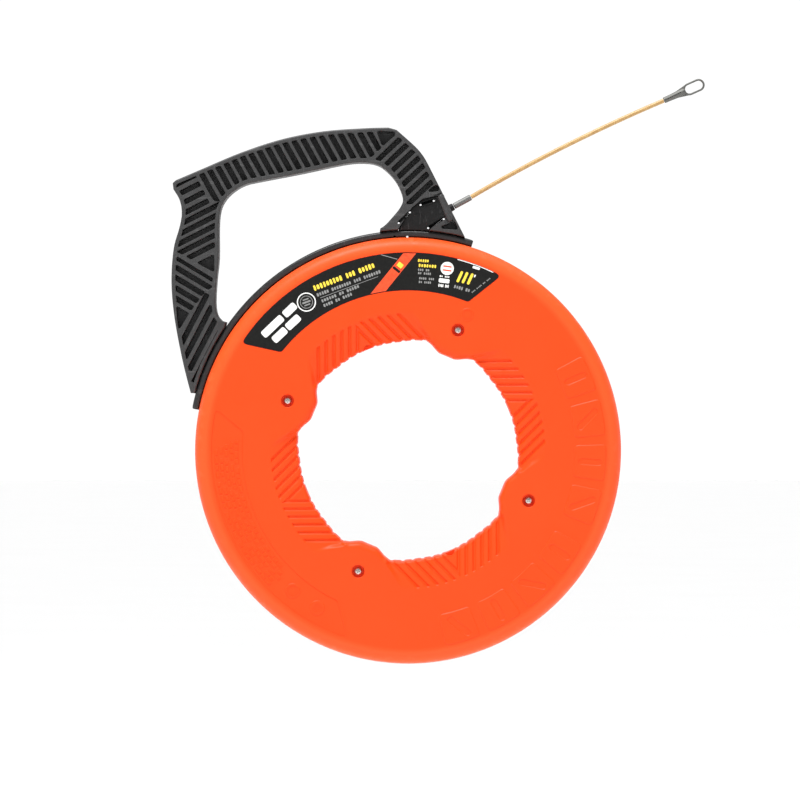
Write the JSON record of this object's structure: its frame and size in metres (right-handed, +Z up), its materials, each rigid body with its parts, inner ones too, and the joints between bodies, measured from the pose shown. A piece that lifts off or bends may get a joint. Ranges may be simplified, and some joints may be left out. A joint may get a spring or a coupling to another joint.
{
  "type": "fish tape reel",
  "caption": "Round ring-shaped reel case that turns inside a ribbed C-shaped handle, with a coiled pulling tape, a leader rod and a steel pulling eye at the handle's nose.",
  "frame": {"origin": "middle of the grip bar, where the hand holds the reel up", "axes": "+Y along the reel's axis, from the labelled front face to the rear face; +Z up through the grip bar; +X towards the side where the tape comes out"},
  "size_m": [0.3822, 0.05, 0.4191],
  "materials": {
    "orange_plastic": "fine moulded grain, satin, bright orange",
    "black_nylon": "satin glass-filled nylon with a light grain",
    "label_film": "printed laminated film, black with yellow, white and orange print",
    "fastener_steel": "zinc plated",
    "eye_steel": "dull stamped stainless steel",
    "fibreglass_tape": "resin-coated glass fibre",
    "leader_rod": "amber resin-coated rod"
  },
  "bodies": {
    "handle": {"handle_body": "black_nylon", "guide_rail": "black_nylon", "tape_guide_front": "black_nylon", "tape_guide_rear": "black_nylon", "nose_bushing": "black_nylon"},
    "case": {"case_front_shell": "orange_plastic", "case_rear_shell": "orange_plastic", "case_label": "label_film", "case_screw_1": "fastener_steel", "case_screw_2": "fastener_steel", "case_screw_3": "fastener_steel", "case_screw_4": "fastener_steel", "case_nut_1": "fastener_steel", "case_nut_2": "fastener_steel", "case_nut_3": "fastener_steel", "case_nut_4": "fastener_steel", "tape_anchor_clip": "black_nylon", "tape_anchor_screw": "fastener_steel"},
    "coil": {"tape_coil": "fibreglass_tape"},
    "lead": {"tape_lead": "fibreglass_tape", "leader_ferrule": "eye_steel", "leader_rod": "leader_rod", "pulling_eye": "eye_steel"}
  },
  "joints": [
    {"name": "case_spin", "type": "hinge", "parent": "handle", "child": "case", "pos_m": [0.075, 0, -0.212], "axis": [0, 1, 0], "continuous": true},
    {"name": "tape_payout", "type": "slide", "parent": "handle", "child": "lead", "axis": [0.8796, 0, 0.4756], "range_m": [0, 0.095]},
    {"name": "coil_spin", "type": "hinge", "parent": "handle", "child": "coil", "pos_m": [0.075, 0, -0.212], "axis": [0, 1, 0], "range_deg": [0, 40]}
  ],
  "couplings": [
    {"joint": "coil_spin", "follows": "tape_payout", "rad_per_m": 7.2254}
  ]
}
